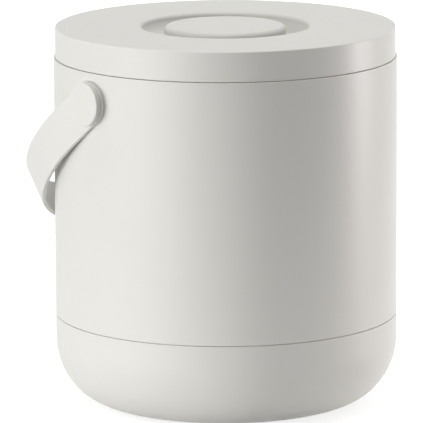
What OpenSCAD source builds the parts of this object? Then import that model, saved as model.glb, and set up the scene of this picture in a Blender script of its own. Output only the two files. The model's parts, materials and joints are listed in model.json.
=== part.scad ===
// Countertop compost caddy: a round-bottomed base that stores spare bags, a straight sleeve with a
// swinging strap bail, a lift-out inner bucket and a lift-off lid with a sunk knob and a carbon filter.
// Millimetres, +Z up. The origin is the centre of the foot pad's resting face, and the bail's pivot
// axis runs along X. The bail rests on the +Y side.

/* [Body] */
// Outer diameter of the base and the sleeve
body_d = 200; // [180:2:220]
// Wall of the sleeve
body_wall = 2.5; // [2:0.1:3]
// Height of the seam between base and sleeve
base_h = 52.5; // [50:0.5:62]
// Length of the sleeve between its two seams
sleeve_h = 151.8; // [130:0.2:180]
// Chamfer on both lips of the lower seam
seam_chamfer = 0.6; // [0.2:0.1:0.8]
// Chamfer on the sleeve's upper rim
rim_chamfer = 0.5; // [0.2:0.1:0.8]
// Width of the ledge inside the sleeve that carries the bucket
ledge_w = 3.2; // [2.8:0.1:4]
// Thickness of that ledge at its free edge
ledge_t = 2; // [1.6:0.1:3]
// Depth of that ledge below the sleeve's rim
ledge_drop = 4.5; // [4:0.1:6]

/* [Base] */
// Wall and floor of the base
base_wall = 3; // [2.4:0.1:3.4]
// Radius of the upper, softer arc of the rounded bottom
side_r = 52; // [44:1:60]
// Radius of the tighter arc that runs into the flat bottom
toe_r = 30.5; // [26:0.5:34]
// Angle below the horizontal at which the two arcs meet
blend_angle = 29; // [24:1:34]
// Radius of the non-slip foot pad
pad_r = 56; // [44:1:58]
// Thickness of the foot pad
pad_t = 1.6; // [1.2:0.1:2]
// How far the foot pad stands below the base
pad_proud = 0.6; // [0.4:0.1:0.9]
// Height of the spigot that plugs into the sleeve
spigot_h = 11.5; // [9:0.5:14]
// Wall of the spigot
spigot_wall = 2.6; // [2.2:0.1:3.2]
// Lead-in chamfer on the spigot's upper edge
spigot_lead = 0.8; // [0.4:0.1:1.2]
// Thickness of the soft grip ring in the spigot's groove
grip_d = 2.2; // [1.8:0.1:2.6]

/* [Inner bucket] */
// Wall of the bucket
bucket_wall = 1.8; // [1.4:0.1:2.2]
// How much narrower the bucket is at its floor, on the radius
bucket_draft = 6; // [3:0.5:10]
// Corner radius at the bucket's floor
bucket_corner_r = 10; // [6:1:16]
// Height of the bucket's floor above the lower seam
bucket_floor_rise = 6; // [3:0.5:14]
// Thickness of the hanging flange
flange_t = 2; // [1.6:0.1:2.6]
// Height of the sealing lip above the flange
lip_h = 3.2; // [2.6:0.1:3.6]
// Radius of the fingertip notches in flange and bag ring
notch_r = 9; // [7:0.5:12]
// Plastic left between a notch and the bucket's wall
notch_wall = 0.6; // [0.4:0.1:1]
// Thickness of the bag ring on the flange
ring_t = 1.6; // [1.2:0.1:2]
// Width of the upright rim inside the bag ring
ring_rim_w = 1.2; // [1:0.1:1.6]

/* [Lid] */
// Height of the lid above the sleeve's rim
lid_h = 17.4; // [16.4:0.2:22]
// How much smaller the lid's radius is than the sleeve's
lid_step = 0.9; // [0.5:0.1:1.5]
// Wall of the lid's skirt and top
lid_wall = 2.5; // [2:0.1:3]
// Rounding of the lid's top edge
lid_edge_r = 1.2; // [0.6:0.1:2]
// Open joint between the lid's skirt and the sleeve
seam_gap = 0.4; // [0.3:0.05:0.8]
// Outer radius of the sunk finger channel
recess_r = 49; // [47:0.5:56]
// Depth of the finger channel
recess_depth = 10; // [8:0.5:11]
// Radius of the channel's hollow side
bowl_r = 12; // [11.5:0.5:15]
// Chamfer where the channel meets the lid's top
recess_chamfer = 0.4; // [0.2:0.1:0.6]
// Thickness of the channel's floor
recess_wall = 2; // [1.6:0.1:2.4]
// Thickness of the ribs under the lid
rib_t = 1.6; // [1.2:0.1:2]
// Depth of those ribs
rib_h = 4; // [2:0.2:6]
// Thickness of the liner plate under the lid
liner_t = 2; // [1.6:0.1:2.4]
// Depth of the liner's guide skirt
liner_skirt_h = 8.7; // [6:0.1:12]
// Wall of the liner's guide skirt
liner_skirt_wall = 1.6; // [1.2:0.1:2]
// Circle radius of the liner's screws
liner_screw_pcr = 72; // [60:1:78]
// How far the seal reaches past the bucket's wall
seal_over = 0.8; // [0.4:0.1:1]

/* [Knob] */
// Radius of the knob
knob_r = 35.4; // [33:0.2:36.4]
// Wall of the knob
knob_wall = 2; // [1.6:0.1:2.4]
// Thickness of the knob's top
knob_top_t = 2.4; // [2:0.1:3]
// Rounding of the knob's top edge
knob_edge_r = 1.2; // [0.6:0.1:1.6]
// Open vent between the knob's skirt and the channel floor
knob_vent = 1.2; // [0.8:0.1:2]
// Circle radius of the knob's screws
knob_screw_pcr = 20; // [16:0.5:21]
// Radius of the vent holes in the channel's floor under the knob
vent_r = 2.2; // [1.5:0.1:2.4]

/* [Filter] */
// Radius of the carbon filter pad
filter_r = 36.6; // [34:0.2:40]
// Thickness of the filter pad
filter_t = 7.6; // [6:0.2:9]
// Wall of the filter cup
cup_wall = 1.6; // [1.2:0.1:2]
// Thickness of the grille
grille_t = 1.8; // [1.4:0.1:2.2]
// Thickness of the brim that stops the cup at the collar
brim_t = 1.5; // [1.2:0.1:2]
// Wall of the collar that the cup turns in
collar_wall = 2.2; // [1.8:0.1:2.6]
// Turn that frees the filter cup
bayonet_turn = 30; // [20:1:40]
// Height of a bayonet lug
lug_h = 2; // [1.6:0.1:2.6]
// Depth of the lugs below the liner
lug_drop = 4.4; // [4:0.1:5]
// Width of the slots in the grille
slot_w = 3.2; // [2:0.2:4]
// Radius at which the slots begin
slot_in_r = 11; // [9:0.5:16]
// Plain rim of the grille outside the slots
slot_margin = 5; // [4:0.5:8]
// Length of the twist bar under the grille
twist_bar_l = 46; // [36:1:60]
// Width of the twist bar
twist_bar_w = 5; // [4:0.2:7]
// Depth of the twist bar
twist_bar_h = 5; // [3:0.2:7]

/* [Handle] */
// Width of the strap
strap_w = 25; // [20:0.5:27]
// Thickness of the strap
strap_t = 2.8; // [2.2:0.1:3.4]
// Tilt of the resting bail below the horizontal
rest_tilt = 37.7; // [34:0.1:42]
// Gap between the resting strap and the sleeve
rest_gap = 0.5; // [0.4:0.1:3]
// Depth of the pivot axis below the sleeve's rim
pivot_drop = 17.4; // [17:0.1:30]
// Outward flare of the strap above its pivot pad
flare_angle = 5; // [3:0.5:8]
// Radius of the bend that starts the flare
flare_r = 40; // [25:1:60]
// How far the strap's side arc outreaches the top of the bail
shoulder = 11.4; // [9:0.2:16]
// Chamfer of the strap's long edges
strap_edge_r = 0.8; // [0.4:0.1:1.2]

/* [Pivot] */
// How far the cap and the strap's eye stand out past the strap's edges
eye_proud = 0.15; // [0:0.05:0.4]
// Thickness of the round cap over the strap
cap_t = 3; // [2.4:0.1:4]
// Rounding of the cap's outer edge
cap_edge_r = 0.9; // [0.5:0.1:1.4]
// Radius of the stud behind the cap
stud_r = 4; // [3.4:0.1:5]
// Radius of the boss inside the sleeve
boss_r = 9; // [7:0.5:10]
// Depth of that boss inside the sleeve's wall
boss_depth = 3; // [2.5:0.1:4]
// Height of the flat land under the strap's end
land_proud = 0.25; // [0.2:0.05:0.4]
// Thickness of the washer
washer_t = 1; // [0.8:0.1:1.4]
// Radius of the washer
washer_r = 7.6; // [6:0.2:8.6]
// Radius of the pivot screw's thread
pivot_screw_r = 1.5; // [1.3:0.05:1.8]
// Length of the pivot screw below its head
pivot_screw_l = 9; // [7:0.5:10]
// Radius of a pivot screw's head
pivot_head_r = 3.15; // [2.8:0.05:3.6]
// Height of a pivot screw's head
pivot_head_t = 1.8; // [1.4:0.1:2.2]

/* [Clearances] */
// Radial gap between spigot and sleeve
spigot_gap = 0.6; // [0.4:0.05:0.9]
// Radial gap between grip ring and sleeve
grip_gap = 0.25; // [0.2:0.05:0.3]
// Radial running gap of strap, stud and bore
stud_gap = 0.06; // [0.03:0.01:0.09]
// Gap on each flat side of the strap's end
strap_side_gap = 0.15; // [0.1:0.05:0.3]
// Radial gap between two loose round pieces
loose_gap = 0.4; // [0.3:0.05:0.6]
// Radial gap between bucket and pivot screw heads
bucket_gap = 1.1; // [0.8:0.1:2]
// Radial gap between screw and pilot hole
thread_gap = 0.05; // [0.03:0.01:0.08]
// Radial gap between screw and clearance hole
screw_gap = 0.2; // [0.1:0.05:0.3]
// Radial gap between filter cup and collar, and height gap at the cup's brim
cup_gap = 0.3; // [0.2:0.05:0.4]
// Radial gap between the liner's skirt and the bucket's lip
skirt_gap = 0.6; // [0.4:0.05:0.8]
// Radial gap between the liner and the lid's skirt
liner_gap = 0.7; // [0.5:0.05:1]
// Radial gap on both sides of the seal in its groove
seal_gap = 0.1; // [0.05:0.05:0.2]
// Chamfer of a fine edge
fine_edge = 0.3; // [0.2:0.05:0.4]
// Chamfer of a soft edge
soft_edge = 0.4; // [0.3:0.05:0.6]

/* [Hidden] */
$fn = 128;

eps = 0.01;
weld = 0.4;
body_r = body_d / 2;
bore_r = body_r - body_wall;
rim_z = base_h + sleeve_h;
top_z = rim_z + lid_h;

// Rounded bottom: the centres of its two arcs
toe_c = [body_r - side_r + (side_r - toe_r) * cos(blend_angle), pad_proud + toe_r];
side_c = toe_c - (side_r - toe_r) * [cos(blend_angle), -sin(blend_angle)];
arc_steps = 16;
pad_seat_r = pad_r + loose_gap;

// Spigot and its groove
spigot_r = bore_r - spigot_gap;
spigot_top = base_h + spigot_h;
grip_z = base_h + spigot_h / 2;
grip_out_r = bore_r - grip_gap;
grip_c = [grip_out_r - grip_d / 2, grip_z];
step_drop = 1;

// Pivot stack along X, from outside to inside
strap_in_x = body_r + land_proud + strap_side_gap;
strap_out_x = strap_in_x + strap_t;
cap_in_x = strap_out_x + strap_side_gap;
cap_out_x = cap_in_x + cap_t;
eye_r = strap_w / 2 + eye_proud;
cap_r = eye_r;
boss_in_x = bore_r - boss_depth;
stud_over = 0.1;
stud_end_x = boss_in_x - stud_over;
washer_in_x = stud_end_x - washer_t;
head_in_x = washer_in_x - pivot_head_t;
pivot_z = rim_z - pivot_drop;
pilot_r = pivot_screw_r + thread_gap;
pilot_spare = 0.4;
pilot_end_x = washer_in_x + pivot_screw_l + pilot_spare;
land_r = strap_w / 2;

// Strap centreline: a is the distance along the pivot axis, s the distance out from it
pad_margin = 0.2;
pad_s = cap_r + pad_margin;
bail_l = (body_r + rest_gap + strap_w / 2 * sin(rest_tilt)) / cos(rest_tilt) + strap_t;
flare_c = [strap_out_x + flare_r, pad_s];
flare_end = flare_c + flare_r * [-cos(flare_angle), sin(flare_angle)];
side_arc_r = (bail_l - flare_end[1] + shoulder) / (1 + sin(flare_angle));
side_arc_c = flare_end + side_arc_r * [-cos(flare_angle), sin(flare_angle)];
side_reach = bail_l - side_arc_c[1];
top_arc_r = (side_arc_r ^ 2 - side_arc_c[0] ^ 2 - side_reach ^ 2) / (2 * (side_arc_r - side_reach));
top_arc_c = [0, bail_l - top_arc_r];
top_arc_angle = acos(-side_arc_c[0] / (side_arc_r - top_arc_r));

// The strap's chamfer leaves a flat edge between its two faces
strap_edge_flat = 0.2;
strap_edge = min(strap_edge_r, (strap_t - strap_edge_flat) / 2);

// Bucket, flange and ledge
bucket_r = head_in_x - bucket_gap;
bucket_in_r = bucket_r - bucket_wall;
ledge_z = rim_z - ledge_drop;
ledge_r = bore_r - ledge_w;
ledge_under_z = ledge_z - ledge_t;
ledge_foot_z = ledge_under_z - ledge_w;
flange_r = bore_r - loose_gap;
flange_top = ledge_z + flange_t;
lip_top = flange_top + lip_h;
bucket_z = base_h + bucket_floor_rise;
notch_y = bucket_r + notch_wall + notch_r;
ring_in_r = bucket_r + loose_gap;
ring_out_r = flange_r - loose_gap;
ring_rim_drop = 0.5;

// Lid stack
lid_r = body_r - lid_step;
lid_in_r = lid_r - lid_wall;
lid_z = rim_z + seam_gap;
recess_z = top_z - recess_depth;
bowl_c = [recess_r - sqrt(bowl_r ^ 2 - (bowl_r - recess_depth) ^ 2), recess_z + bowl_r];
bowl_under_r = bowl_r + recess_wall;
deck_z = top_z - lid_wall;
deck_fillet = 1;
rib_in_r = bowl_c[0] + bowl_r - 1;
liner_top = recess_z - recess_wall;
liner_z = liner_top - liner_t;
liner_r = lid_in_r - liner_gap;
skirt_r = bucket_in_r - skirt_gap;
skirt_in_r = skirt_r - liner_skirt_wall;
skirt_z = liner_z - liner_skirt_h;
seal_in_r = skirt_r + seal_gap;
seal_out_r = bucket_r + seal_over;
seal_groove = 1;
seal_top = liner_z + seal_groove;
seal_seat_r = seal_out_r + seal_gap;
small_screw_r = 1.3;
small_head_r = 2.9;
small_head_t = 1.7;
head_gap = 0.6;
small_boss_r = 3.6;
lid_ribs = 8;
knob_screw_n = 3;
liner_screw_n = 4;
vent_n = 9;
vent_margin = 1;
vent_pcr = knob_r - knob_wall - vent_r - vent_margin;
vent_turn = 20;
liner_screw_turn = 45;
screw_spare = 0.4;
pilot_skin = 0.4;
liner_screw_spare = 1.5;
knob_z = recess_z + knob_vent;
knob_in_z = top_z - knob_top_t;
knob_screw_l = knob_in_z - liner_top - pilot_skin - screw_spare;
liner_screw_l = deck_z - liner_z - liner_screw_spare;

// Filter cup and its bayonet
cup_in_r = filter_r + loose_gap;
cup_r = cup_in_r + cup_wall;
collar_in_r = cup_r + cup_gap;
collar_r = collar_in_r + collar_wall;
cup_top_gap = 0.5;
cup_top = liner_z - cup_top_gap;
pad_drop = 0.4;
cup_floor_z = cup_top - pad_drop - filter_t;
cup_z = cup_floor_z - grille_t;
brim_top = cup_z + brim_t;
collar_z = brim_top + cup_gap;
lug_n = 3;
lug_angle = 9;
lug_z = liner_z - lug_drop;
lug_inset = 0.5;
lug_r = collar_r - lug_inset;
lug_play = 0.3;
lug_side = 1.5;
slot_n = 12;
slot_out_r = filter_r - slot_margin;

// Points along an arc about c, from angle a0 to angle a1
function arc(c, r, a0, a1, n = arc_steps) =
    [for (i = [0:n]) c + r * [cos(a0 + (a1 - a0) * i / n), sin(a0 + (a1 - a0) * i / n)]];

// A polygon's points in the opposite order
function reversed(p) = [for (i = [len(p) - 1:-1:0]) p[i]];

// Rounded bottom, moved inward by inset, from the flat underside up to the straight wall
function bottom_curve(inset) = concat(
    arc(toe_c, toe_r - inset, -90, -blend_angle),
    arc(side_c, side_r - inset, -blend_angle, 0)
);

// Turns a profile that was drawn round Z so that its axis lies along X at the pivot, top outward
module at_pivot(side) {
    translate([0, 0, pivot_z]) rotate([0, side * 90, 0]) children();
}

// Pan-head screw with a cross recess; its head's underside is at z = 0 and its thread points up
module screw(r, length, head_r, head_t) {
    difference() {
        union() {
            cylinder(r = r, h = length - r);
            translate([0, 0, length - r]) cylinder(r1 = r, r2 = r * 0.3, h = r);
            rotate_extrude() polygon(concat(
                [[0, 0], [head_r, 0]],
                arc([head_r - head_t * 0.6, -head_t * 0.4], head_t * 0.6, 0, -90, 6),
                [[0, -head_t]]
            ));
        }
        for (turn = [0, 90]) {
            rotate([0, 0, turn]) translate([-head_r * 0.6, -head_r * 0.11, -head_t - eps])
                cube([head_r * 1.2, head_r * 0.22, head_t * 0.5 + eps]);
        }
    }
}

// Copies its children n times round Z at radius r, the first at angle a0
module ring_of(n, r, a0 = 0) {
    for (i = [0:n - 1]) {
        rotate([0, 0, a0 + i * 360 / n]) translate([r, 0, 0]) children();
    }
}

// Part of a ring, between two radii, two heights and two angles
module ring_sector(r0, r1, z0, z1, a0, a1) {
    rotate([0, 0, a0]) rotate_extrude(angle = a1 - a0) polygon([[r0, z0], [r1, z0], [r1, z1], [r0, z1]]);
}

// Base: rounded bowl with a spigot that plugs into the sleeve
module base_bowl() {
    spigot_in_r = spigot_r - spigot_wall;
    base_in_r = body_r - base_wall;
    step = base_in_r - spigot_in_r;
    step_z = base_h - step_drop;
    color([0.84, 0.83, 0.81]) difference() {
        rotate_extrude() polygon(concat(
            [[0, pad_t], [pad_seat_r, pad_t], [pad_seat_r, pad_proud]],
            bottom_curve(0),
            [[body_r, base_h - seam_chamfer], [body_r - seam_chamfer, base_h], [spigot_r, base_h]],
            [[spigot_r, spigot_top - spigot_lead], [spigot_r - spigot_lead, spigot_top]],
            [[spigot_in_r, spigot_top]],
            [[spigot_in_r, step_z], [base_in_r, step_z - step]],
            reversed(bottom_curve(base_wall)),
            [[0, pad_proud + base_wall]]
        ));
        rotate_extrude() translate(grip_c) circle(d = grip_d, $fn = 32);
    }
}

// Non-slip pad in the shallow seat under the base
module foot_pad() {
    color([0.45, 0.45, 0.44]) rotate_extrude()
        polygon([[0, 0], [pad_r - soft_edge, 0], [pad_r, soft_edge], [pad_r, pad_t], [0, pad_t]]);
}

// Soft ring that lets the sleeve grip the base
module grip_ring() {
    color([0.55, 0.55, 0.54]) rotate_extrude() translate(grip_c) circle(d = grip_d, $fn = 32);
}

// Sleeve: straight tube with the bucket's ledge and the two pivot bosses
module body_sleeve() {
    color([0.86, 0.85, 0.83]) difference() {
        union() {
            rotate_extrude() polygon([
                [bore_r + fine_edge, base_h],
                [body_r - seam_chamfer, base_h],
                [body_r, base_h + seam_chamfer],
                [body_r, rim_z - rim_chamfer],
                [body_r - rim_chamfer, rim_z],
                [bore_r + fine_edge, rim_z],
                [bore_r, rim_z - fine_edge],
                [bore_r, ledge_z],
                [ledge_r, ledge_z],
                [ledge_r, ledge_under_z],
                [bore_r, ledge_foot_z],
                [bore_r, base_h + fine_edge]
            ]);
            for (side = [-1, 1]) {
                at_pivot(side) cylinder(r = land_r, h = body_r + land_proud);
            }
        }
        difference() {
            translate([0, 0, pivot_z - land_r - 1])
                cylinder(r = bore_r, h = ledge_foot_z - pivot_z + land_r + 1);
            for (side = [-1, 1]) {
                at_pivot(side) translate([0, 0, boss_in_x]) cylinder(r = boss_r, h = boss_depth + 1);
            }
        }
        for (side = [-1, 1]) {
            at_pivot(side) translate([0, 0, -eps]) cylinder(r = land_r + 1, h = boss_in_x + eps);
            at_pivot(side) cylinder(r = stud_r + stud_gap, h = strap_out_x);
        }
    }
}

// Round cap that holds the strap, with the hollow stud that the strap swings on
module pivot_cap(side) {
    color([0.88, 0.87, 0.85]) at_pivot(side) difference() {
        union() {
            rotate_extrude() polygon(concat(
                [[0, cap_in_x], [cap_r - fine_edge, cap_in_x], [cap_r, cap_in_x + fine_edge]],
                arc([cap_r - cap_edge_r, cap_out_x - cap_edge_r], cap_edge_r, 0, 90, 8),
                [[0, cap_out_x]]
            ));
            translate([0, 0, stud_end_x]) cylinder(r = stud_r, h = cap_in_x - stud_end_x + weld);
        }
        translate([0, 0, stud_end_x - eps]) cylinder(r = pilot_r, h = pilot_end_x - stud_end_x + eps);
    }
}

module pivot_cap_left() {
    pivot_cap(-1);
}

module pivot_cap_right() {
    pivot_cap(1);
}

// Washer clamped between stud and screw head inside the sleeve
module pivot_washer(side) {
    color([0.75, 0.75, 0.76]) at_pivot(side) translate([0, 0, washer_in_x]) difference() {
        cylinder(r = washer_r, h = washer_t);
        translate([0, 0, -eps]) cylinder(r = pivot_screw_r + screw_gap, h = washer_t + 2 * eps);
    }
}

module pivot_washer_left() {
    pivot_washer(-1);
}

module pivot_washer_right() {
    pivot_washer(1);
}

// Screw that holds a cap from inside the sleeve
module pivot_screw(side) {
    color([0.6, 0.6, 0.62]) at_pivot(side) translate([0, 0, washer_in_x])
        screw(pivot_screw_r, pivot_screw_l, pivot_head_r, pivot_head_t);
}

module pivot_screw_left() {
    pivot_screw(-1);
}

module pivot_screw_right() {
    pivot_screw(1);
}

// Strap's chamfered section: depth below its outer face, and place across its width
strap_section = let (e = strap_edge, d1 = strap_t - e, w1 = strap_w / 2 - e) concat(
    arc([e, w1], e, 90, 180, 1),
    arc([e, -w1], e, 180, 270, 1),
    arc([d1, -w1], e, 270, 360, 1),
    arc([d1, w1], e, 0, 90, 1)
);

// One end of the bail's outer face: points [a, s] with the angle of the outward normal
strap_half = concat(
    [for (s = [0, pad_s]) [[strap_out_x, s], 0]],
    [for (i = [1:2]) let (n = -flare_angle * i / 2) [flare_c - flare_r * [cos(n), sin(n)], n]],
    [for (i = [1:8]) let (n = -flare_angle + (top_arc_angle + flare_angle) * i / 8)
        [side_arc_c + side_arc_r * [cos(n), sin(n)], n]],
    [for (i = [1:12]) let (n = top_arc_angle + (90 - top_arc_angle) * i / 12)
        [top_arc_c + top_arc_r * [cos(n), sin(n)], n]]
);

// The whole bail: one half, then the other half mirrored, without a second copy of its middle
strap_line = concat(
    strap_half,
    [for (i = [len(strap_half) - 2:-1:0]) let (p = strap_half[i]) [[-p[0][0], p[0][1]], 180 - p[1]]]
);

// Solid swept along a line of [point, normal angle] stations in the XY plane
module sweep(line, section) {
    m = len(section);
    last = len(line) - 1;
    polyhedron(
        points = [
            for (station = line)
                for (q = section)
                    let (p = station[0] - q[0] * [cos(station[1]), sin(station[1])]) [p[0], p[1], q[1]]
        ],
        faces = concat(
            [[for (j = [0:m - 1]) j]],
            [for (i = [0:last - 1]) for (j = [0:m - 1])
                [i * m + j, (i + 1) * m + j, (i + 1) * m + (j + 1) % m, i * m + (j + 1) % m]],
            [[for (j = [m - 1:-1:0]) last * m + j]]
        )
    );
}

// Bail: one flat strap bent into a horseshoe, with a round eye at each end
module handle_strap() {
    e = strap_edge;
    color([0.9, 0.89, 0.87]) translate([0, 0, pivot_z]) rotate([-rest_tilt, 0, 0]) difference() {
        union() {
            sweep(strap_line, strap_section);
            for (side = [-1, 1]) {
                rotate([0, side * 90, 0]) rotate_extrude() polygon(concat(
                    [[0, strap_in_x]],
                    arc([eye_r - e, strap_in_x + e], e, -90, 0, 1),
                    arc([eye_r - e, strap_out_x - e], e, 0, 90, 1),
                    [[0, strap_out_x]]
                ));
            }
        }
        translate([-2 * body_r, 0, 0]) rotate([0, 90, 0]) cylinder(r = stud_r + stud_gap, h = 4 * body_r);
    }
}

// Fingertip notches at front and back, in whatever lies between the given heights
module notches(z0, z1) {
    for (side = [-1, 1]) {
        translate([0, side * notch_y, z0]) cylinder(r = notch_r, h = z1 - z0);
    }
}

// Inner bucket, hung by its flange on the sleeve's ledge
module inner_bucket() {
    lean = atan(bucket_draft / (ledge_z - bucket_z));
    foot_r = bucket_r - bucket_draft;
    corner_c = [foot_r - bucket_corner_r, bucket_z + bucket_corner_r];
    color([0.55, 0.56, 0.55]) difference() {
        rotate_extrude() polygon(concat(
            [[0, bucket_z]],
            arc(corner_c, bucket_corner_r, -90, -lean, 10),
            [[bucket_r, ledge_z], [flange_r, ledge_z], [flange_r, flange_top], [bucket_r, flange_top]],
            [[bucket_r, lip_top - fine_edge], [bucket_r - fine_edge, lip_top]],
            [[bucket_in_r + fine_edge, lip_top]],
            [[bucket_in_r, lip_top - fine_edge], [bucket_in_r, ledge_z]],
            reversed(arc(corner_c, bucket_corner_r - bucket_wall, -90, -lean, 10)),
            [[0, bucket_z + bucket_wall]]
        ));
        notches(ledge_z - eps, flange_top + eps);
    }
}

// Ring that clamps the bag's folded hem on the bucket's flange
module bag_ring() {
    ring_top = flange_top + ring_t;
    ring_rim_z = lip_top - ring_rim_drop;
    color([0.7, 0.7, 0.69]) difference() {
        rotate_extrude() polygon([
            [ring_in_r, flange_top],
            [ring_out_r, flange_top],
            [ring_out_r, ring_top - soft_edge],
            [ring_out_r - soft_edge, ring_top],
            [ring_in_r + ring_rim_w + soft_edge, ring_top],
            [ring_in_r + ring_rim_w, ring_rim_z],
            [ring_in_r, ring_rim_z]
        ]);
        notches(flange_top - eps, lip_top);
    }
}

// Lid cover: shell with the sunk, hollow-sided finger channel
module lid_cover() {
    rim_angle = -asin((bowl_r - recess_depth + recess_chamfer) / bowl_r);
    deck_angle = -asin((bowl_c[1] - deck_z) / bowl_under_r);
    color([0.86, 0.86, 0.84]) difference() {
        union() {
            rotate_extrude() polygon(concat(
                [[0, liner_top], [bowl_c[0], liner_top]],
                arc(bowl_c, bowl_under_r, -90, deck_angle, 12),
                [[lid_in_r - deck_fillet, deck_z], [lid_in_r, deck_z - deck_fillet]],
                [[lid_in_r, lid_z], [lid_r - soft_edge, lid_z], [lid_r, lid_z + soft_edge]],
                arc([lid_r - lid_edge_r, top_z - lid_edge_r], lid_edge_r, 0, 90, 8),
                [[recess_r + recess_chamfer, top_z]],
                reversed(arc(bowl_c, bowl_r, -90, rim_angle)),
                [[0, recess_z]]
            ));
            ring_of(liner_screw_n, liner_screw_pcr, liner_screw_turn) translate([0, 0, liner_top])
                cylinder(r = small_boss_r, h = deck_z - liner_top + weld, $fn = 48);
            ring_of(lid_ribs, 0) translate([rib_in_r, -rib_t / 2, deck_z - rib_h])
                cube([lid_in_r + weld - rib_in_r, rib_t, rib_h + weld]);
        }
        ring_of(liner_screw_n, liner_screw_pcr, liner_screw_turn) translate([0, 0, liner_top - eps])
            cylinder(r = small_screw_r + thread_gap, h = deck_z - liner_top, $fn = 48);
        ring_of(knob_screw_n, knob_screw_pcr) translate([0, 0, liner_top - eps])
            cylinder(r = small_screw_r + screw_gap, h = recess_wall + 2 * eps, $fn = 48);
        ring_of(vent_n, vent_pcr, vent_turn) translate([0, 0, liner_top - eps])
            cylinder(r = vent_r, h = recess_wall + 2 * eps, $fn = 48);
    }
}

// Knob: shallow cup turned upside down on three bosses, its top level with the lid
module lid_knob() {
    color([0.88, 0.87, 0.86]) difference() {
        union() {
            rotate_extrude() polygon(concat(
                [[0, knob_in_z], [knob_r - knob_wall, knob_in_z]],
                [[knob_r - knob_wall, knob_z], [knob_r, knob_z]],
                arc([knob_r - knob_edge_r, top_z - knob_edge_r], knob_edge_r, 0, 90, 8),
                [[0, top_z]]
            ));
            ring_of(knob_screw_n, knob_screw_pcr) translate([0, 0, recess_z])
                cylinder(r = small_boss_r, h = knob_in_z - recess_z + weld, $fn = 48);
        }
        ring_of(knob_screw_n, knob_screw_pcr) translate([0, 0, recess_z - eps])
            cylinder(r = small_screw_r + thread_gap, h = knob_in_z - recess_z - pilot_skin, $fn = 48);
    }
}

// Screws that hold the knob from under the channel floor
module knob_screws() {
    color([0.6, 0.6, 0.62]) ring_of(knob_screw_n, knob_screw_pcr) translate([0, 0, liner_top])
        screw(small_screw_r, knob_screw_l, small_head_r, small_head_t);
}

// L-shaped bayonet cuts through the filter collar: a level slot, and a mouth down to the collar's edge
module bayonet_cuts() {
    slot_top = lug_z + lug_h + lug_play;
    for (i = [0:lug_n - 1]) {
        a0 = i * 360 / lug_n - lug_angle / 2 - lug_side;
        a1 = i * 360 / lug_n + bayonet_turn + lug_angle / 2 + lug_side;
        ring_sector(collar_in_r - 1, collar_r + 1, lug_z - lug_play, slot_top, a0, a1 - lug_side);
        ring_sector(collar_in_r - 1, collar_r + 1, collar_z - 1, slot_top - lug_play / 2,
            a1 - lug_angle - 2 * lug_side, a1);
    }
}

// Liner plate under the lid: guide skirt, seal groove and the filter's collar
module lid_liner() {
    color([0.8, 0.8, 0.78]) difference() {
        union() {
            rotate_extrude() polygon([
                [0, liner_z],
                [skirt_in_r, liner_z],
                [skirt_in_r, skirt_z + fine_edge],
                [skirt_in_r + fine_edge, skirt_z],
                [skirt_r - 2 * fine_edge, skirt_z],
                [skirt_r, skirt_z + 2 * fine_edge],
                [skirt_r, seal_top],
                [seal_seat_r, seal_top],
                [seal_seat_r, liner_z],
                [liner_r, liner_z],
                [liner_r, liner_top],
                [0, liner_top]
            ]);
            difference() {
                ring_sector(collar_in_r, collar_r, collar_z, liner_z + weld, 0, 360);
                bayonet_cuts();
            }
        }
        ring_of(liner_screw_n, liner_screw_pcr, liner_screw_turn) translate([0, 0, liner_z - eps])
            cylinder(r = small_screw_r + screw_gap, h = liner_t + 2 * eps, $fn = 48);
        ring_of(knob_screw_n, knob_screw_pcr) translate([0, 0, liner_z - eps])
            cylinder(r = small_head_r + head_gap, h = liner_t + 2 * eps, $fn = 48);
        ring_of(vent_n, vent_pcr, vent_turn) translate([0, 0, liner_z - eps])
            cylinder(r = vent_r, h = liner_t + 2 * eps, $fn = 48);
    }
}

// Screws that hold the liner to the lid's bosses
module liner_screws() {
    color([0.6, 0.6, 0.62]) ring_of(liner_screw_n, liner_screw_pcr, liner_screw_turn)
        translate([0, 0, liner_z]) screw(small_screw_r, liner_screw_l, small_head_r, small_head_t);
}

// Silicone seal between the liner and the bucket's lip
module lid_seal() {
    color([0.72, 0.73, 0.72]) rotate_extrude() polygon([
        [seal_in_r, lip_top + soft_edge],
        [seal_in_r + soft_edge, lip_top],
        [seal_out_r - soft_edge, lip_top],
        [seal_out_r, lip_top + soft_edge],
        [seal_out_r, seal_top],
        [seal_in_r, seal_top]
    ]);
}

// Slot with round ends, from radius r0 to r1, cut upward from z = 0
module radial_slot(r0, r1, w, h) {
    translate([r0, -w / 2, 0]) cube([r1 - r0, w, h]);
    translate([r0, 0, 0]) cylinder(d = w, h = h, $fn = 32);
    translate([r1, 0, 0]) cylinder(d = w, h = h, $fn = 32);
}

// Filter cup: slotted grille, three bayonet lugs and a twist bar
module filter_grille() {
    color([0.5, 0.51, 0.5]) union() {
        difference() {
            rotate_extrude() polygon([
                [0, cup_z],
                [collar_r - soft_edge, cup_z],
                [collar_r, cup_z + soft_edge],
                [collar_r, brim_top],
                [cup_r, brim_top],
                [cup_r, cup_top],
                [cup_in_r, cup_top],
                [cup_in_r, cup_floor_z],
                [0, cup_floor_z]
            ]);
            ring_of(slot_n, 0, 180 / slot_n) translate([0, 0, cup_z - eps])
                radial_slot(slot_in_r, slot_out_r, slot_w, grille_t + 2 * eps);
        }
        for (i = [0:lug_n - 1]) {
            a = i * 360 / lug_n;
            ring_sector(cup_r - weld, lug_r, lug_z, lug_z + lug_h, a - lug_angle / 2, a + lug_angle / 2);
        }
        translate([-twist_bar_l / 2, -twist_bar_w / 2, cup_z - twist_bar_h])
            cube([twist_bar_l, twist_bar_w, twist_bar_h + weld]);
    }
}

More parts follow.
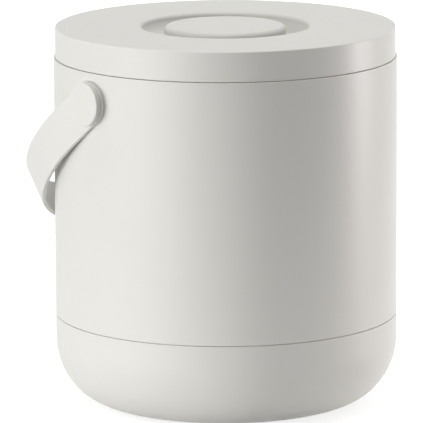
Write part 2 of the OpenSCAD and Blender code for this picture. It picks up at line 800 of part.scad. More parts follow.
// Carbon filter pad in the cup
module filter_pad() {
    e = soft_edge;
    color([0.15, 0.15, 0.15]) translate([0, 0, cup_floor_z]) rotate_extrude() polygon([
        [0, 0],
        [filter_r - e, 0],
        [filter_r, e],
        [filter_r, filter_t - e],
        [filter_r - e, filter_t],
        [0, filter_t]
    ]);
}

base_bowl();
foot_pad();
grip_ring();
body_sleeve();
pivot_cap_left();
pivot_cap_right();
pivot_washer_left();
pivot_washer_right();
pivot_screw_left();
pivot_screw_right();
handle_strap();
inner_bucket();
bag_ring();
lid_cover();
lid_knob();
knob_screws();
lid_liner();
liner_screws();
lid_seal();
filter_grille();
filter_pad();
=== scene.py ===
"""Countertop compost caddy: smooth shells, bail, materials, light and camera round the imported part."""

import json
import math

import bmesh
import bpy
import numpy as np
from mathutils import Matrix, Vector


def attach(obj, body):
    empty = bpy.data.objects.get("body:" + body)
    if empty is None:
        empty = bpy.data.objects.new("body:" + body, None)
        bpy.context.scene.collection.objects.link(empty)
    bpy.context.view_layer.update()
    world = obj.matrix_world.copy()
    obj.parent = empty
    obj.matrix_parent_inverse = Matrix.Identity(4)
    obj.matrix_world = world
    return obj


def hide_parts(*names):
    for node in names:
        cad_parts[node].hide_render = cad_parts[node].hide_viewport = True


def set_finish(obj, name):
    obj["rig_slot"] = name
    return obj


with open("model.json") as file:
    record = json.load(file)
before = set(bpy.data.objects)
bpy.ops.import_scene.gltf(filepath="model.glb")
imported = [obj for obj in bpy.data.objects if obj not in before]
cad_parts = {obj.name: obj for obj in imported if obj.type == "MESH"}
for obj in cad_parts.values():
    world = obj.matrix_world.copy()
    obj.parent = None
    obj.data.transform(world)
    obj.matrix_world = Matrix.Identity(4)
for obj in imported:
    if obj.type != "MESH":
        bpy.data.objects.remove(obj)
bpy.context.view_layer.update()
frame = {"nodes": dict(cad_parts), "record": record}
NODES = frame["nodes"]

MM = 0.001
TURNS = 288  # facets round a large shell
CAP_TURNS = 144  # round a pivot cap
SMALL_TURNS = 96  # round a land, boss or bore
SCREW_TURNS = 48  # round a screw's boss, pilot or vent
SHARP_ANGLE = 35.0  # degrees above which an edge stays sharp

# ---------------------------------------------------------------- sizes in millimetres
# They are the CAD source's, but for small edges, the seams and the rounded bottom.
BODY_R = 100.0
BORE_R = 97.5
BASE_H = 52.5
RIM_Z = 204.12
TOP_Z = 221.7
PIVOT_Z = 186.9

TOE_R = 29.91
TOE_C = (66.95, 30.51)
SIDE_R = 40.74
SIDE_C = (59.26, 38.141)
BLEND_ANGLE = 44.8
BASE_WALL = 3.0
SEAM_HALF = 0.17
SEAM_DEPTH = 1.2
SEAM_EDGE_R = 0.3
PAD_SEAT_R = 56.4
PAD_SEAT_Z = 1.6
PAD_PROUD = 0.6
SPIGOT_R = 96.9
SPIGOT_IN_R = 94.3
SPIGOT_TOP = 64.0
SPIGOT_LEAD = 0.8
GRIP_R = 96.15
GRIP_Z = 58.25
GRIP_D = 2.2
GRIP_HALF_OPENING = 0.8

LEDGE_R = 94.3
LEDGE_Z = 199.8
LEDGE_T = 2.0
LAND_X = 100.25
LAND_R = 12.5
LAND_ROOT_X = 98.6
BOSS_IN_X = 94.5
BOSS_R = 9.0
BOSS_ROOT_X = 98.2
STUD_R = 4.0
STUD_GAP = 0.06

LID_R = 99.1
LID_IN_R = 96.6
LID_Z = 204.4
RECESS_R = 48.5
RECESS_Z = 211.7
BOWL_R = 12.0
BOWL_C = (37.17, 223.7)
BOWL_UNDER_R = 14.0
DECK_Z = 219.2
LINER_TOP = 209.7
RIB_T = 1.6
RIB_H = 4.0
RIB_START_R = 48.17
ROOT = 0.5  # how far a rib or boss runs into the deck, and how far below it the pilots end
OVERCUT = 1.0  # how far a cut runs past the face it opens
LID_EDGE_R = 0.75
RECESS_EDGE_R = 2.2
RIM_TRIM = 11.0  # degrees that the rounded rim takes off the channel's arc
KNOB_R = 35.4
KNOB_EDGE_R = 2.6
KNOB_WALL = 2.0
KNOB_TOP_T = 2.4
KNOB_BOTTOM = 212.9
KNOB_BOSS_ROOT = 0.4
SMALL_BOSS_R = 3.6
SCREW_R = 1.3
PILOT_GAP = 0.05
HOLE_GAP = 0.2
KNOB_SCREW_PCR = 20.0
LINER_SCREW_PCR = 72.0
LINER_SCREW_TURN = 45.0
VENT_PCR = 30.2
VENT_R = 2.2
VENT_TURN = 20.0

STRAP_W = 25.0
STRAP_T = 2.8
STRAP_EDGE = 0.8
STRAP_FLAT = 0.6  # width of the flat row of faces beside the rounded edge
REST_TILT = 37.7
STRAP_OUT_X = 103.2
PAD_S = 12.85
FLARE_R = 40.0
FLARE_ANGLE = 5.0
SHOULDER = 11.4
REST_GAP = 0.5

CAP_IN_X = 103.35
CAP_OUT_X = 106.35
CAP_R = 12.65
CAP_EDGE_R = 0.9
STUD_END_X = 94.4
PILOT_R = 1.55
PILOT_END_X = 102.8

# radii of the small edges, from the finest to the softest
FINE_R = 0.2
LIP_R = 0.3
SOFT_R = 0.4
ROUND_R = 1.0


# ---------------------------------------------------------------- mesh helpers
def arc(c, r, a0, a1, steps):
    """Points along an arc about c, from angle a0 to angle a1 in degrees."""
    turns = np.radians(np.linspace(a0, a1, steps + 1))
    return [(c[0] + r * math.cos(t), c[1] + r * math.sin(t)) for t in turns]


def rounded(corners, steps=5):
    """A closed outline; a corner given as (x, y, radius) is rounded, and one given as (x, y) is kept."""
    out = []
    for i, corner in enumerate(corners):
        p = np.array(corner[:2], float)
        radius = corner[2] if len(corner) > 2 else 0
        if not radius:
            out.append(tuple(p))
            continue
        a = np.array(corners[i - 1][:2], float) - p
        b = np.array(corners[(i + 1) % len(corners)][:2], float) - p
        a, b = a / np.linalg.norm(a), b / np.linalg.norm(b)
        half = math.acos(float(np.clip(a @ b, -1, 1))) / 2
        centre = p + (a + b) / np.linalg.norm(a + b) * radius / math.sin(half)
        start, end = p + a * radius / math.tan(half) - centre, p + b * radius / math.tan(half) - centre
        turn = math.atan2(start[0] * end[1] - start[1] * end[0], start @ end)
        for k in range(steps + 1):
            c, s = math.cos(turn * k / steps), math.sin(turn * k / steps)
            out.append((centre[0] + c * start[0] - s * start[1], centre[1] + s * start[0] + c * start[1]))
    return out


def new_object(name, points, faces):
    """A mesh object from points in millimetres, welded, with its faces turned outward."""
    mesh = bpy.data.meshes.new(name)
    mesh.from_pydata([[x * MM for x in p] for p in points], [], faces)
    bm = bmesh.new()
    bm.from_mesh(mesh)
    bmesh.ops.remove_doubles(bm, verts=bm.verts, dist=1e-7)
    bmesh.ops.recalc_face_normals(bm, faces=bm.faces)
    bm.to_mesh(mesh)
    bm.free()
    obj = bpy.data.objects.new(name, mesh)
    bpy.context.scene.collection.objects.link(obj)
    return obj


def lathe_mesh(outline, turns=TURNS):
    """Points and faces of a closed (r, z) outline turned round Z."""
    angles = np.linspace(0, 2 * math.pi, turns, endpoint=False)
    points, rows = [], []
    for r, z in outline:
        start = len(points)
        if r < 1e-6:
            rows.append([start] * turns)
            points.append((0.0, 0.0, z))
        else:
            rows.append(list(range(start, start + turns)))
            points += [(r * math.cos(t), r * math.sin(t), z) for t in angles]
    faces = []
    for low, high in zip(rows, rows[1:] + rows[:1]):
        for i in range(turns):
            j = (i + 1) % turns
            face = list(dict.fromkeys((low[i], low[j], high[j], high[i])))
            if len(face) > 2:
                faces.append(face)
    return points, faces


def lathe(name, outline, turns=TURNS):
    return new_object(name, *lathe_mesh(outline, turns))


def merged(name, parts):
    """One object from several (points, faces) meshes, each moved by its own matrix."""
    points, faces = [], []
    for (part_points, part_faces), move in parts:
        start = len(points)
        points += [tuple(move @ Vector(p)) for p in part_points]
        faces += [[start + i for i in face] for face in part_faces]
    return new_object(name, points, faces)


def cylinder(r, z0, z1, turns=SMALL_TURNS):
    return lathe_mesh([(0, z0), (r, z0), (r, z1), (0, z1)], turns)


def box_mesh(low, high):
    points = [(x, y, z) for z in (low[2], high[2]) for y in (low[1], high[1]) for x in (low[0], high[0])]
    return points, [[0, 2, 3, 1], [4, 5, 7, 6], [0, 1, 5, 4], [2, 6, 7, 3], [0, 4, 6, 2], [1, 3, 7, 5]]


def around(n, r, a0=0.0):
    """Matrices of n places round Z at radius r."""
    turns = [math.radians(a0 + 360 * i / n) for i in range(n)]
    return [Matrix.Rotation(turn, 4, "Z") @ Matrix.Translation((r, 0, 0)) for turn in turns]


def at_pivot(side):
    """Turns a piece drawn round Z so that its axis lies along X at the pivot, its top outward."""
    return Matrix.Translation((0, 0, PIVOT_Z)) @ Matrix.Rotation(math.radians(90 * side), 4, "Y")


def combine(obj, tool, operation):
    """Applies an exact union or difference of tool to obj and deletes tool."""
    modifier = obj.modifiers.new("combine", "BOOLEAN")
    modifier.operation, modifier.solver, modifier.object = operation, "EXACT", tool
    depsgraph = bpy.context.evaluated_depsgraph_get()
    mesh = bpy.data.meshes.new_from_object(obj.evaluated_get(depsgraph))
    obj.modifiers.clear()
    obj.data = mesh
    mesh.name = obj.name
    bpy.data.objects.remove(tool)


def finish_piece(obj, body, slot, *stands_for):
    """Smooth shading that keeps large faces flat, and the piece's place in the frame."""
    obj.data.shade_smooth()
    obj.data.set_sharp_from_angle(angle=math.radians(SHARP_ANGLE))
    flat = obj.modifiers.new("flat_faces", "WEIGHTED_NORMAL")
    flat.mode, flat.weight, flat.keep_sharp = "FACE_AREA", 100, True
    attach(obj, body)
    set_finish(obj, slot)
    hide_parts(*stands_for)
    return obj


# ---------------------------------------------------------------- base
def bottom_curve(inset):
    """The rounded bottom, moved inward, from the flat underside up to the straight wall."""
    return (
        arc(TOE_C, TOE_R - inset, -90, -BLEND_ANGLE, 20)
        + arc(SIDE_C, SIDE_R - inset, -BLEND_ANGLE, 0, 16)[1:]
    )


def make_base():
    groove = arc((GRIP_R, GRIP_Z), GRIP_D / 2, -46, -314, 16)
    step = BODY_R - BASE_WALL - SPIGOT_IN_R
    outline = rounded(
        [(0, PAD_SEAT_Z), (PAD_SEAT_R, PAD_SEAT_Z, FINE_R), (PAD_SEAT_R, PAD_PROUD, FINE_R)]
        + bottom_curve(0)
        + [(BODY_R, BASE_H - SEAM_HALF, SEAM_EDGE_R), (BODY_R - SEAM_DEPTH, BASE_H - SEAM_HALF)]
        + [(BODY_R - SEAM_DEPTH, BASE_H), (SPIGOT_R, BASE_H, 0.25)]
        + [(SPIGOT_R, GRIP_Z - GRIP_HALF_OPENING)]
        + groove
        + [(SPIGOT_R, GRIP_Z + GRIP_HALF_OPENING), (SPIGOT_R, SPIGOT_TOP - 1)]
        + [(SPIGOT_R - SPIGOT_LEAD, SPIGOT_TOP, SOFT_R), (SPIGOT_IN_R, SPIGOT_TOP, 0.5)]
        + [(SPIGOT_IN_R, BASE_H - 1, ROUND_R), (BODY_R - BASE_WALL, BASE_H - 1 - step, ROUND_R)]
        + bottom_curve(BASE_WALL)[::-1]
        + [(0, PAD_PROUD + BASE_WALL)]
    )
    return finish_piece(lathe("base_shell", outline), "base", "shell", "base_bowl")


# ---------------------------------------------------------------- sleeve
def make_sleeve():
    ledge_w = BORE_R - LEDGE_R
    outline = rounded(
        [(BORE_R, BASE_H, LIP_R), (BODY_R - SEAM_DEPTH, BASE_H)]
        + [(BODY_R - SEAM_DEPTH, BASE_H + SEAM_HALF), (BODY_R, BASE_H + SEAM_HALF, SEAM_EDGE_R)]
        + [(BODY_R, z) for z in np.linspace(BASE_H + 12, RIM_Z - 12, 9)]
        + [(BODY_R, RIM_Z, LIP_R), (BORE_R, RIM_Z, LIP_R)]
        + [(BORE_R, LEDGE_Z, LIP_R), (LEDGE_R, LEDGE_Z, SOFT_R), (LEDGE_R, LEDGE_Z - LEDGE_T, SOFT_R)]
        + [(BORE_R, LEDGE_Z - LEDGE_T - ledge_w, 0.8)]
    )
    sleeve = lathe("sleeve_shell", outline)
    land_edge = [(0, LAND_ROOT_X), (LAND_R, LAND_ROOT_X), (LAND_R, LAND_X, FINE_R), (0, LAND_X)]
    boss_edge = [(0, BOSS_IN_X), (BOSS_R, BOSS_IN_X, SOFT_R), (BOSS_R, BOSS_ROOT_X), (0, BOSS_ROOT_X)]
    land, boss = (lathe_mesh(rounded(edge), SMALL_TURNS) for edge in (land_edge, boss_edge))
    bore = cylinder(STUD_R + STUD_GAP, BOSS_IN_X - OVERCUT, LAND_X + OVERCUT)
    sides = (-1, 1)
    combine(sleeve, merged("pivot_lands", [(p, at_pivot(s)) for s in sides for p in (land, boss)]), "UNION")
    combine(sleeve, merged("pivot_bores", [(bore, at_pivot(s)) for s in sides]), "DIFFERENCE")
    return finish_piece(sleeve, "sleeve", "shell", "body_sleeve")


# ---------------------------------------------------------------- lid
def make_lid():
    rim_angle = -math.degrees(math.asin((BOWL_C[1] - TOP_Z) / BOWL_R))
    deck_angle = -math.degrees(math.asin((BOWL_C[1] - DECK_Z) / BOWL_UNDER_R))
    outline = rounded(
        [(0, LINER_TOP), (BOWL_C[0], LINER_TOP)]
        + arc(BOWL_C, BOWL_UNDER_R, -90, deck_angle, 14)[1:]
        + [(LID_IN_R, DECK_Z, ROUND_R), (LID_IN_R, LID_Z, LIP_R)]
        + [(LID_R, LID_Z, 0.25), (LID_R, TOP_Z - 8), (LID_R, TOP_Z, LID_EDGE_R)]
        + [(LID_R - 6, TOP_Z), (RECESS_R + 5, TOP_Z), (RECESS_R, TOP_Z, RECESS_EDGE_R)]
        + arc(BOWL_C, BOWL_R, rim_angle - RIM_TRIM, -90, 20)
        + [(0, RECESS_Z)],
        8,
    )
    cover = lathe("lid_shell", outline)
    rib = box_mesh((RIB_START_R, -RIB_T / 2, DECK_Z - RIB_H), (LID_IN_R + ROOT, RIB_T / 2, DECK_Z + ROOT))
    boss = cylinder(SMALL_BOSS_R, LINER_TOP, DECK_Z + ROOT, SCREW_TURNS)
    pilot = cylinder(SCREW_R + PILOT_GAP, LINER_TOP - OVERCUT, DECK_Z - ROOT, SCREW_TURNS)
    hole = cylinder(SCREW_R + HOLE_GAP, LINER_TOP - OVERCUT, RECESS_Z + OVERCUT, SCREW_TURNS)
    vent = cylinder(VENT_R, LINER_TOP - OVERCUT, RECESS_Z + OVERCUT, SCREW_TURNS)
    ribs = [(rib, m) for m in around(8, 0)]
    screws = around(4, LINER_SCREW_PCR, LINER_SCREW_TURN)
    bosses = [(boss, m) for m in screws]
    combine(cover, merged("lid_bosses", bosses), "UNION")
    combine(cover, merged("lid_ribs", ribs), "UNION")
    cuts = [(pilot, m) for m in screws]
    cuts += [(hole, m) for m in around(3, KNOB_SCREW_PCR)]
    cuts += [(vent, m) for m in around(9, VENT_PCR, VENT_TURN)]
    combine(cover, merged("lid_cuts", cuts), "DIFFERENCE")
    return finish_piece(cover, "lid", "shell", "lid_cover")


def make_knob():
    inner, ceiling = KNOB_R - KNOB_WALL, TOP_Z - KNOB_TOP_T
    outline = rounded(
        [(0, ceiling), (inner, ceiling, ROUND_R), (inner, KNOB_BOTTOM, LIP_R), (KNOB_R, KNOB_BOTTOM, SOFT_R)]
        + [(KNOB_R, TOP_Z, KNOB_EDGE_R), (KNOB_R - 4, TOP_Z), (0, TOP_Z)],
        8,
    )
    knob = lathe("knob_shell", outline)
    boss = cylinder(SMALL_BOSS_R, RECESS_Z, ceiling + KNOB_BOSS_ROOT, SCREW_TURNS)
    pilot = cylinder(SCREW_R + PILOT_GAP, RECESS_Z - OVERCUT, ceiling - KNOB_BOSS_ROOT, SCREW_TURNS)
    places = around(3, KNOB_SCREW_PCR)
    combine(knob, merged("knob_bosses", [(boss, m) for m in places]), "UNION")
    combine(knob, merged("knob_pilots", [(pilot, m) for m in places]), "DIFFERENCE")
    return finish_piece(knob, "lid", "shell", "lid_knob")


# ---------------------------------------------------------------- bail and its caps
def strap_half():
    """Half of the bail's outer face past its pivot pad: points (a, s) and the angle of the outward normal."""
    tilt = math.radians(REST_TILT)
    bail_l = (BODY_R + REST_GAP + STRAP_W / 2 * math.sin(tilt)) / math.cos(tilt) + STRAP_T
    flare = math.radians(FLARE_ANGLE)
    flare_c = (STRAP_OUT_X + FLARE_R, PAD_S)
    end = (flare_c[0] - FLARE_R * math.cos(flare), flare_c[1] + FLARE_R * math.sin(flare))
    side_r = (bail_l - end[1] + SHOULDER) / (1 + math.sin(flare))
    side_c = (end[0] - side_r * math.cos(flare), end[1] + side_r * math.sin(flare))
    reach = bail_l - side_c[1]
    top_r = (side_r**2 - side_c[0] ** 2 - reach**2) / (2 * (side_r - reach))
    top_angle = math.degrees(math.acos(-side_c[0] / (side_r - top_r)))

    def run(c, r, a0, a1, steps, flip=1):
        turns = np.linspace(a0, a1, steps + 1)[1:]
        return [
            ((c[0] + flip * r * math.cos(math.radians(t)), c[1] + flip * r * math.sin(math.radians(t))), t)
            for t in turns
        ]

    return (
        [((STRAP_OUT_X, s), 0.0) for s in (3, 6, 9, PAD_S)]
        + run(flare_c, FLARE_R, 0, -FLARE_ANGLE, 4, -1)
        + run(side_c, side_r, -FLARE_ANGLE, top_angle, 22)
        + run((0, bail_l - top_r), top_r, top_angle, 90, 30)
    )


def strap_stations(inset):
    """Stations from tip to tip for the strap's outline moved in by inset: point, normal angle, half-width."""
    half_w = STRAP_W / 2 - inset
    tip = [
        ((STRAP_OUT_X, -half_w * math.cos(t)), 0.0, half_w * math.sin(t))
        for t in np.linspace(0, math.pi / 2, 25)
    ]
    half = tip + [(p, n, half_w) for p, n in strap_half()]
    return half + [((-p[0], p[1]), 180 - n, w) for p, n, w in half[-2::-1]]


def make_strap():
    """The bail as one flat strap with rounded long edges and ends, bored for the studs."""
    turns = np.linspace(0, math.pi / 2, 7)
    e = STRAP_EDGE
    contour = [(e + STRAP_FLAT, 0.0)] + [(e - e * math.sin(t), e - e * math.cos(t)) for t in turns]
    contour += [(e - e * math.cos(t), STRAP_T - e + e * math.sin(t)) for t in turns]
    contour += [(e + STRAP_FLAT, STRAP_T)]
    points, grid = [], []
    for inset, depth in contour:
        sides = []
        for sign in (1, -1):
            row = []
            for (a, s), n, w in strap_stations(inset):
                row.append(len(points))
                n = math.radians(n)
                points.append((a - depth * math.cos(n), s - depth * math.sin(n), sign * w))
            sides.append(row)
        grid.append(sides)
    faces = []
    last = len(grid[0][0]) - 1
    for i in range(last):
        for k in range(len(grid) - 1):
            for side in (0, 1):
                a, b = grid[k][side], grid[k + 1][side]
                faces.append([a[i], a[i + 1], b[i + 1], b[i]])
        for k in (0, -1):
            plus, minus = grid[k]
            faces.append([plus[i], plus[i + 1], minus[i + 1], minus[i]])
    tilt = math.radians(REST_TILT)
    along, across = (math.cos(tilt), -math.sin(tilt)), (math.sin(tilt), math.cos(tilt))
    points = [(a, s * along[0] + w * across[0], PIVOT_Z + s * along[1] + w * across[1]) for a, s, w in points]
    unique_faces = []
    for face in faces:
        if len({tuple(round(x, 5) for x in points[i]) for i in face}) > 2:
            unique_faces.append(face)
    strap = new_object("bail_strap", points, unique_faces)
    bore = cylinder(STUD_R + STUD_GAP, STRAP_OUT_X - STRAP_T - OVERCUT, STRAP_OUT_X + OVERCUT)
    combine(strap, merged("eye_bores", [(bore, at_pivot(s)) for s in (-1, 1)]), "DIFFERENCE")
    return finish_piece(strap, "handle", "strap", "handle_strap")


def make_cap(name, side):
    outline = rounded(
        [(PILOT_R, STUD_END_X, FINE_R), (STUD_R, STUD_END_X, LIP_R), (STUD_R, CAP_IN_X, LIP_R)]
        + [(CAP_R, CAP_IN_X, LIP_R), (CAP_R, CAP_OUT_X, CAP_EDGE_R), (CAP_R - 3, CAP_OUT_X), (0, CAP_OUT_X)]
        + [(0, PILOT_END_X), (PILOT_R, PILOT_END_X)],
        8,
    )
    cap = merged(name + "_shell", [(lathe_mesh(outline, CAP_TURNS), at_pivot(side))])
    return finish_piece(cap, "sleeve", "strap", name)


# ---------------------------------------------------------------- materials
def node_material(name, color, roughness, **sockets):
    """A Principled material; uniform values are set on its own sockets."""
    material = bpy.data.materials.new(name)
    material.use_nodes = True
    shader = material.node_tree.nodes["Principled BSDF"]
    shader.inputs["Base Color"].default_value = (*color, 1)
    shader.inputs["Roughness"].default_value = roughness
    for socket, value in sockets.items():
        shader.inputs[socket.replace("_", " ")].default_value = value
    return material, material.node_tree, shader


def noise(tree, scale, detail=2.0, rough=0.5):
    """Noise in the object's own coordinates; scale is in cycles per metre."""
    place = next((n for n in tree.nodes if n.type == "TEX_COORD"), None)
    place = place or tree.nodes.new("ShaderNodeTexCoord")
    texture = tree.nodes.new("ShaderNodeTexNoise")
    texture.inputs["Scale"].default_value = scale
    texture.inputs["Detail"].default_value = detail
    texture.inputs["Roughness"].default_value = rough
    tree.links.new(place.outputs["Object"], texture.inputs["Vector"])
    return texture


def ramp(tree, source, low, high, start=0.3, end=0.7):
    """Maps a texture's factor to colours or greys."""
    node = tree.nodes.new("ShaderNodeValToRGB")
    node.color_ramp.elements[0].position, node.color_ramp.elements[1].position = start, end
    node.color_ramp.elements[0].color = (*low, 1) if hasattr(low, "__len__") else (low, low, low, 1)
    node.color_ramp.elements[1].color = (*high, 1) if hasattr(high, "__len__") else (high, high, high, 1)
    tree.links.new(source, node.inputs["Fac"])
    return node.outputs["Color"]


def bump(tree, shader, height, depth, strength=1.0):
    """Bump of the given real depth in metres, after any bump that is already there."""
    node = tree.nodes.new("ShaderNodeBump")
    node.inputs["Strength"].default_value = strength
    node.inputs["Distance"].default_value = depth
    tree.links.new(height, node.inputs["Height"])
    normal = shader.inputs["Normal"]
    if normal.is_linked:
        tree.links.new(normal.links[0].from_socket, node.inputs["Normal"])
    tree.links.new(node.outputs["Normal"], normal)


def tinted(color, factor):
    return tuple(c * factor for c in color)


def moulded(name, color, rough_low, rough_high, grain_depth, grain_scale=2600.0, **sockets):
    """Moulded plastic: slow colour drift, uneven gloss, moulding waves and fine spark grain."""
    material, tree, shader = node_material(name, color, rough_low, **sockets)
    drift = noise(tree, 16.0, 3.0)
    tree.links.new(ramp(tree, drift.outputs["Fac"], tinted(color, 0.985), color), shader.inputs["Base Color"])
    gloss = noise(tree, 700.0, 4.0, 0.6)
    tree.links.new(ramp(tree, gloss.outputs["Fac"], rough_low, rough_high), shader.inputs["Roughness"])
    wave = noise(tree, 22.0, 1.0)
    bump(tree, shader, wave.outputs["Fac"], 0.00003, 0.4)
    grain = noise(tree, grain_scale, 2.0, 0.65)
    bump(tree, shader, grain.outputs["Fac"], grain_depth, 0.5)
    return material


def rubber(name, color, roughness, grain_depth):
    """Rubber or silicone: fine pits and a dusty drift of colour."""
    material, tree, shader = node_material(name, color, roughness, Specular_IOR_Level=0.35)
    dust = noise(tree, 90.0, 5.0, 0.7)
    tree.links.new(ramp(tree, dust.outputs["Fac"], color, tinted(color, 1.15)), shader.inputs["Base Color"])
    pits = noise(tree, 3800.0, 3.0, 0.7)
    bump(tree, shader, pits.outputs["Fac"], grain_depth, 0.6)
    return material


def carbon_foam(name):
    """Open-cell carbon foam: the foam's own dark grey on the cell walls, painted shade that turns the pits
    between them near black, deeply pitted.
    """
    material, tree, shader = node_material(name, (0.02, 0.02, 0.02), 0.85, Specular_IOR_Level=0.25)
    place = tree.nodes.new("ShaderNodeTexCoord")
    cells = tree.nodes.new("ShaderNodeTexVoronoi")
    cells.feature = "DISTANCE_TO_EDGE"
    cells.inputs["Scale"].default_value = 620.0
    tree.links.new(place.outputs["Object"], cells.inputs["Vector"])
    # painted shade: the cell hollows are drawn near black as shade, the walls keep the foam's own dark grey;
    # the same grey sets the bump
    walls_and_pit_shade = ramp(tree, cells.outputs["Distance"], (0.06, 0.06, 0.062), (0.008, 0.008, 0.008), 0.0, 0.22)
    tree.links.new(walls_and_pit_shade, shader.inputs["Base Color"])
    bump(tree, shader, walls_and_pit_shade, 0.0012, 1.0)
    return material


def brushed_steel(name):
    """Plain steel hardware: fine uneven polish and faint turning marks."""
    material, tree, shader = node_material(name, (0.56, 0.56, 0.57), 0.3, Metallic=1.0)
    marks = noise(tree, 2200.0, 6.0, 0.7)
    tree.links.new(ramp(tree, marks.outputs["Fac"], 0.24, 0.42), shader.inputs["Roughness"])
    scuffs = noise(tree, 5200.0, 2.0)
    bump(tree, shader, scuffs.outputs["Fac"], 0.00002, 0.5)
    return material


SHELL_COLOR = (0.735, 0.725, 0.69)
STRAP_COLOR = (0.75, 0.742, 0.71)
MATERIALS = {
    "shell": moulded("stone_grey_plastic", SHELL_COLOR, 0.36, 0.44, 0.00003, Specular_IOR_Level=0.3),
    "strap": moulded("bail_plastic", STRAP_COLOR, 0.38, 0.46, 0.00003, Specular_IOR_Level=0.3),
    "bucket": moulded("dark_bucket_plastic", (0.075, 0.08, 0.08), 0.48, 0.62, 0.00008, 1800.0),
    "inner_plastic": moulded("inner_grey_plastic", (0.50, 0.50, 0.48), 0.45, 0.58, 0.00005, 2200.0),
    "foot_rubber": rubber("foot_rubber", (0.14, 0.14, 0.135), 0.7, 0.00008),
    "grip_rubber": rubber("grip_rubber", (0.22, 0.22, 0.215), 0.62, 0.00005),
    "seal": rubber("seal_silicone", (0.48, 0.49, 0.48), 0.5, 0.00003),
    "carbon": carbon_foam("carbon_foam"),
    "steel": brushed_steel("screw_steel"),
}


def dress(pieces):
    """Gives every new piece and every CAD node that still shows the material of its slot."""
    slots = {row["node"]: row["material_slot"] for row in frame["record"]["subparts"]}
    for obj in pieces:
        obj.data.materials.clear()
        obj.data.materials.append(MATERIALS[obj["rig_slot"]])
    for name, obj in NODES.items():
        if obj.hide_render:
            continue
        for place in obj.material_slots:
            place.link = "OBJECT"
            place.material = MATERIALS[slots[name]]
        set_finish(obj, slots[name])


# ---------------------------------------------------------------- camera
TARGET = Vector((0, 0, 0.110))
CAMERA_AZIMUTH = -40.0
CAMERA_ELEVATION = 11.083
CAMERA_ROLL = -0.264
CAMERA_DISTANCE = 2.834
CAMERA_LENS = 411.7
AIM_RIGHT, AIM_UP = -0.00845, 0.00122  # how far the picture's centre lies from the target


def view_axes():
    """Direction to the camera, and the picture's right and up."""
    a, e = math.radians(CAMERA_AZIMUTH), math.radians(CAMERA_ELEVATION)
    back = Vector((math.sin(a) * math.cos(e), -math.cos(a) * math.cos(e), math.sin(e)))
    right = Vector((math.cos(a), math.sin(a), 0))
    return back, right, back.cross(right)


def make_camera():
    back, right, up = view_axes()
    camera = bpy.data.objects.new("camera", bpy.data.cameras.new("camera"))
    bpy.context.scene.collection.objects.link(camera)
    camera.location = TARGET + back * CAMERA_DISTANCE
    aim = TARGET + right * AIM_RIGHT + up * AIM_UP
    turn = (aim - camera.location).to_track_quat("-Z", "Y").to_matrix().to_4x4()
    roll = Matrix.Rotation(math.radians(CAMERA_ROLL), 4, "Z")
    camera.matrix_world = Matrix.Translation(camera.location) @ turn @ roll
    camera.data.lens = CAMERA_LENS
    camera.data.sensor_width = 36.0
    camera.data.clip_start, camera.data.clip_end = 0.1, 60.0
    bpy.context.scene.camera = camera


# ---------------------------------------------------------------- floor, world and lamps
# Lamps round the object: degrees to the right of the camera, elevation, distance, width, height, watts, and
# whether gloss shows them. The low strips end at the lid's level, and the tall side lamps and the back lamp
# show in no gloss, so that none of them bleaches the flat lid in a view from its other side.
LAMPS = {
    "left_tall_near": (-30, 18, 1.6, 0.7, 1.1, 2.7, False),
    "left_tall_middle": (-50, 18, 1.6, 0.7, 1.1, 4.7, False),
    "left_tall_far": (-70, 18, 1.6, 0.7, 1.1, 3.5, False),
    "left_strip_near": (-35, 0, 1.6, 0.4, 0.22, 3.7, True),
    "left_strip_middle": (-50, 0, 1.6, 0.4, 0.22, 3.6, True),
    "left_strip_far": (-65, 0, 1.6, 0.4, 0.22, 3.7, True),
    "left_high": (-75, 50, 1.6, 0.7, 0.7, 0.8, True),
    "right_tall": (105, 8, 1.6, 0.35, 1.0, 1.9, False),
    "right_strip": (98, 0, 1.6, 0.3, 0.22, 12.6, True),
    "right_strip_far": (106, 0, 1.6, 0.3, 0.22, 1.1, True),
    "right_high": (110, 45, 1.6, 0.6, 0.6, 3.7, True),
    "back": (180, 12, 1.6, 0.9, 0.9, 4.0, False),
    "top": (0, 90, 1.6, 1.2, 1.2, 14.4, True),
}
TINTS = {"left": (1.0, 1.0, 1.0), "right": (1.0, 0.97, 0.97), "top": (1.0, 1.0, 0.98)}
AMBIENT = 0.0  # light that the surroundings shed on the object; the lamps give it all
FLOOR_HALF = 14.0
FLOOR_DROP = 0.0001
FLOOR_PALE = (0.5, 0.5, 0.5)
GLOW_REACH = (0.2, 1.4)  # metres from the object over which the seen floor turns from pale to plain white
FLOOR_GLOW = (0.76, 1.0)
FLOOR_NEAR = (0.2, 0.6)  # metres over which the floor scatters less and less light
FLOOR_SCATTER = (0.72, 0.15)


def make_lamp(name, turn, rise, distance, width, height, watts, glossy=True):
    """A soft rectangular lamp that faces the object, turn degrees to the right of the camera."""
    front = Vector((math.sin(math.radians(CAMERA_AZIMUTH)), -math.cos(math.radians(CAMERA_AZIMUTH)), 0))
    right = view_axes()[1]
    lamp = bpy.data.lights.new("lamp_" + name, "AREA")
    lamp.shape, lamp.size, lamp.size_y, lamp.energy = "RECTANGLE", width, height, watts
    lamp.color = TINTS.get(name.split("_")[0], (1, 1, 1))
    obj = bpy.data.objects.new("lamp_" + name, lamp)
    bpy.context.scene.collection.objects.link(obj)
    t, e = math.radians(turn), math.radians(rise)
    out = (front * math.cos(t) + right * math.sin(t)) * math.cos(e) + Vector((0, 0, math.sin(e)))
    obj.location = TARGET + out * distance
    obj.rotation_euler = (-out).to_track_quat("-Z", "Y").to_euler()
    obj.visible_camera = False
    obj.visible_glossy = glossy
    return obj


def make_lamps():
    for name, values in LAMPS.items():
        make_lamp(name, *values)


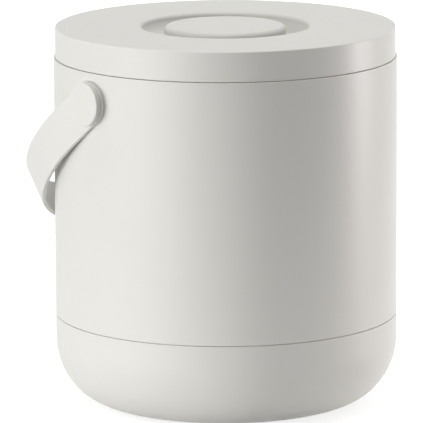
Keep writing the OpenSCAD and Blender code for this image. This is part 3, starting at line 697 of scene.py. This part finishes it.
def seen_directly(tree):
    """One for camera, glossy and transmission rays, and zero for the light that a surface scatters."""
    path = tree.nodes.new("ShaderNodeLightPath")
    first = tree.nodes.new("ShaderNodeMath")
    second = tree.nodes.new("ShaderNodeMath")
    first.operation = second.operation = "MAXIMUM"
    tree.links.new(path.outputs["Is Camera Ray"], first.inputs[0])
    tree.links.new(path.outputs["Is Glossy Ray"], first.inputs[1])
    tree.links.new(first.outputs[0], second.inputs[0])
    tree.links.new(path.outputs["Is Transmission Ray"], second.inputs[1])
    return second.outputs[0]


def make_world():
    world = bpy.data.worlds.new("studio")
    world.use_nodes = True
    bpy.context.scene.world = world
    tree = world.node_tree
    tree.nodes.clear()
    dim, white = tree.nodes.new("ShaderNodeBackground"), tree.nodes.new("ShaderNodeBackground")
    dim.inputs["Color"].default_value = (1.0, 0.99, 0.96, 1)
    dim.inputs["Strength"].default_value = AMBIENT
    white.inputs["Strength"].default_value = 1.0
    white.inputs["Color"].default_value = (1, 1, 1, 1)
    mix, out = tree.nodes.new("ShaderNodeMixShader"), tree.nodes.new("ShaderNodeOutputWorld")
    tree.links.new(seen_directly(tree), mix.inputs[0])
    tree.links.new(dim.outputs[0], mix.inputs[1])
    tree.links.new(white.outputs[0], mix.inputs[2])
    tree.links.new(mix.outputs[0], out.inputs["Surface"])


def make_floor():
    """Plain pale floor: it keeps the object's shadow, and far from the object it turns to plain white."""
    mesh = bpy.data.meshes.new("floor")
    corners = [(x * FLOOR_HALF, y * FLOOR_HALF, 0) for x, y in ((-1, -1), (1, -1), (1, 1), (-1, 1))]
    mesh.from_pydata(corners, [], [[0, 1, 2, 3]])
    floor = bpy.data.objects.new("floor", mesh)
    bpy.context.scene.collection.objects.link(floor)
    floor.location.z = -FLOOR_DROP
    material, tree, shader = node_material("pale_floor", (0.6, 0.6, 0.6), 0.9, Specular_IOR_Level=0.0)
    mottle = noise(tree, 6.0, 3.0)
    pale = ramp(tree, mottle.outputs["Fac"], tinted(FLOOR_PALE, 0.99), FLOOR_PALE)
    tree.links.new(pale, shader.inputs["Base Color"])
    place = next(n for n in tree.nodes if n.type == "TEX_COORD")
    length = tree.nodes.new("ShaderNodeVectorMath")
    length.operation = "LENGTH"
    tree.links.new(place.outputs["Object"], length.inputs[0])
    spread = tree.nodes.new("ShaderNodeMapRange")
    spread.name = "spread"
    spread.inputs["From Min"].default_value, spread.inputs["From Max"].default_value = GLOW_REACH
    spread.inputs["To Min"].default_value, spread.inputs["To Max"].default_value = FLOOR_GLOW
    tree.links.new(length.outputs["Value"], spread.inputs["Value"])
    shader.inputs["Emission Color"].default_value = (1, 1, 1, 1)
    tree.links.new(spread.outputs["Result"], shader.inputs["Emission Strength"])
    scatter = tree.nodes.new("ShaderNodeBsdfDiffuse")
    near = tree.nodes.new("ShaderNodeMapRange")
    near.name = "near"
    near.inputs["From Min"].default_value, near.inputs["From Max"].default_value = FLOOR_NEAR
    near.inputs["To Min"].default_value, near.inputs["To Max"].default_value = FLOOR_SCATTER
    tree.links.new(length.outputs["Value"], near.inputs["Value"])
    tree.links.new(near.outputs["Result"], scatter.inputs["Color"])
    mix = tree.nodes.new("ShaderNodeMixShader")
    out = next(n for n in tree.nodes if n.type == "OUTPUT_MATERIAL")
    tree.links.new(seen_directly(tree), mix.inputs[0])
    tree.links.new(scatter.outputs[0], mix.inputs[1])
    tree.links.new(shader.outputs[0], mix.inputs[2])
    tree.links.new(mix.outputs[0], out.inputs["Surface"])
    mesh.materials.append(material)


# ---------------------------------------------------------------- the scene
PIECES = [
    make_base(),
    make_sleeve(),
    make_lid(),
    make_knob(),
    make_strap(),
    make_cap("pivot_cap_left", -1),
    make_cap("pivot_cap_right", 1),
]
dress(PIECES)
make_camera()
make_world()
make_floor()
make_lamps()
bpy.context.scene.view_settings.view_transform = "Standard"
